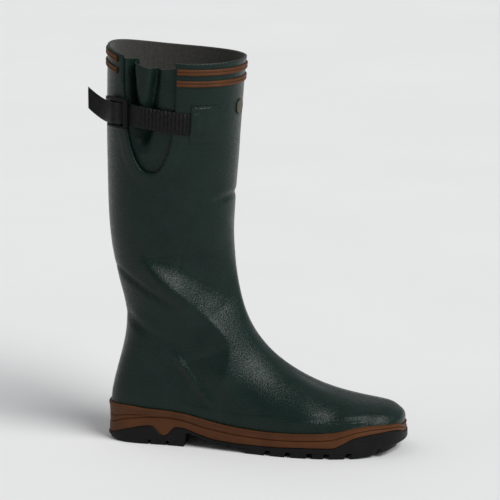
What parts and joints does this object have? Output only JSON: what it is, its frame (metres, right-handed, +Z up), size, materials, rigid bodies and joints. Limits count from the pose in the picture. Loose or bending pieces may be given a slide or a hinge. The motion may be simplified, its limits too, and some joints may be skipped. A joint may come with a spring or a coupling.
{
  "type": "tall rubber boot",
  "caption": "Right-foot knee-high rubber boot with a hollow moulded upper, ribbed collar bands, a strapped side gusset, a brown rand and a black lugged outsole.",
  "frame": {"origin": "on the floor under the middle of the boot's bounding box", "axes": "+X forward to the toe, +Y to the inner side of the foot, +Z up the shaft"},
  "size_m": [0.3212, 0.1194, 0.408],
  "materials": {
    "green_rubber": "dark green moulded rubber, satin",
    "brown_rubber": "brown moulded rubber, matt",
    "black_rubber": "black moulded rubber, matt",
    "footbed_fabric": "grey felted fabric",
    "black_webbing": "black ribbed webbing",
    "black_plastic": "black moulded plastic",
    "olive_rubber": "olive brown rubber, bare"
  },
  "bodies": {
    "root": {"upper": "green_rubber", "gusset": "green_rubber", "midsole": "brown_rubber", "outsole": "black_rubber", "insole": "footbed_fabric", "collar_band_upper": "brown_rubber", "collar_band_lower": "brown_rubber", "strap": "black_webbing", "strap_tab": "green_rubber", "buckle": "black_plastic", "buckle_loop": "black_webbing", "badge_disc": "olive_rubber"}
  },
  "joints": []
}
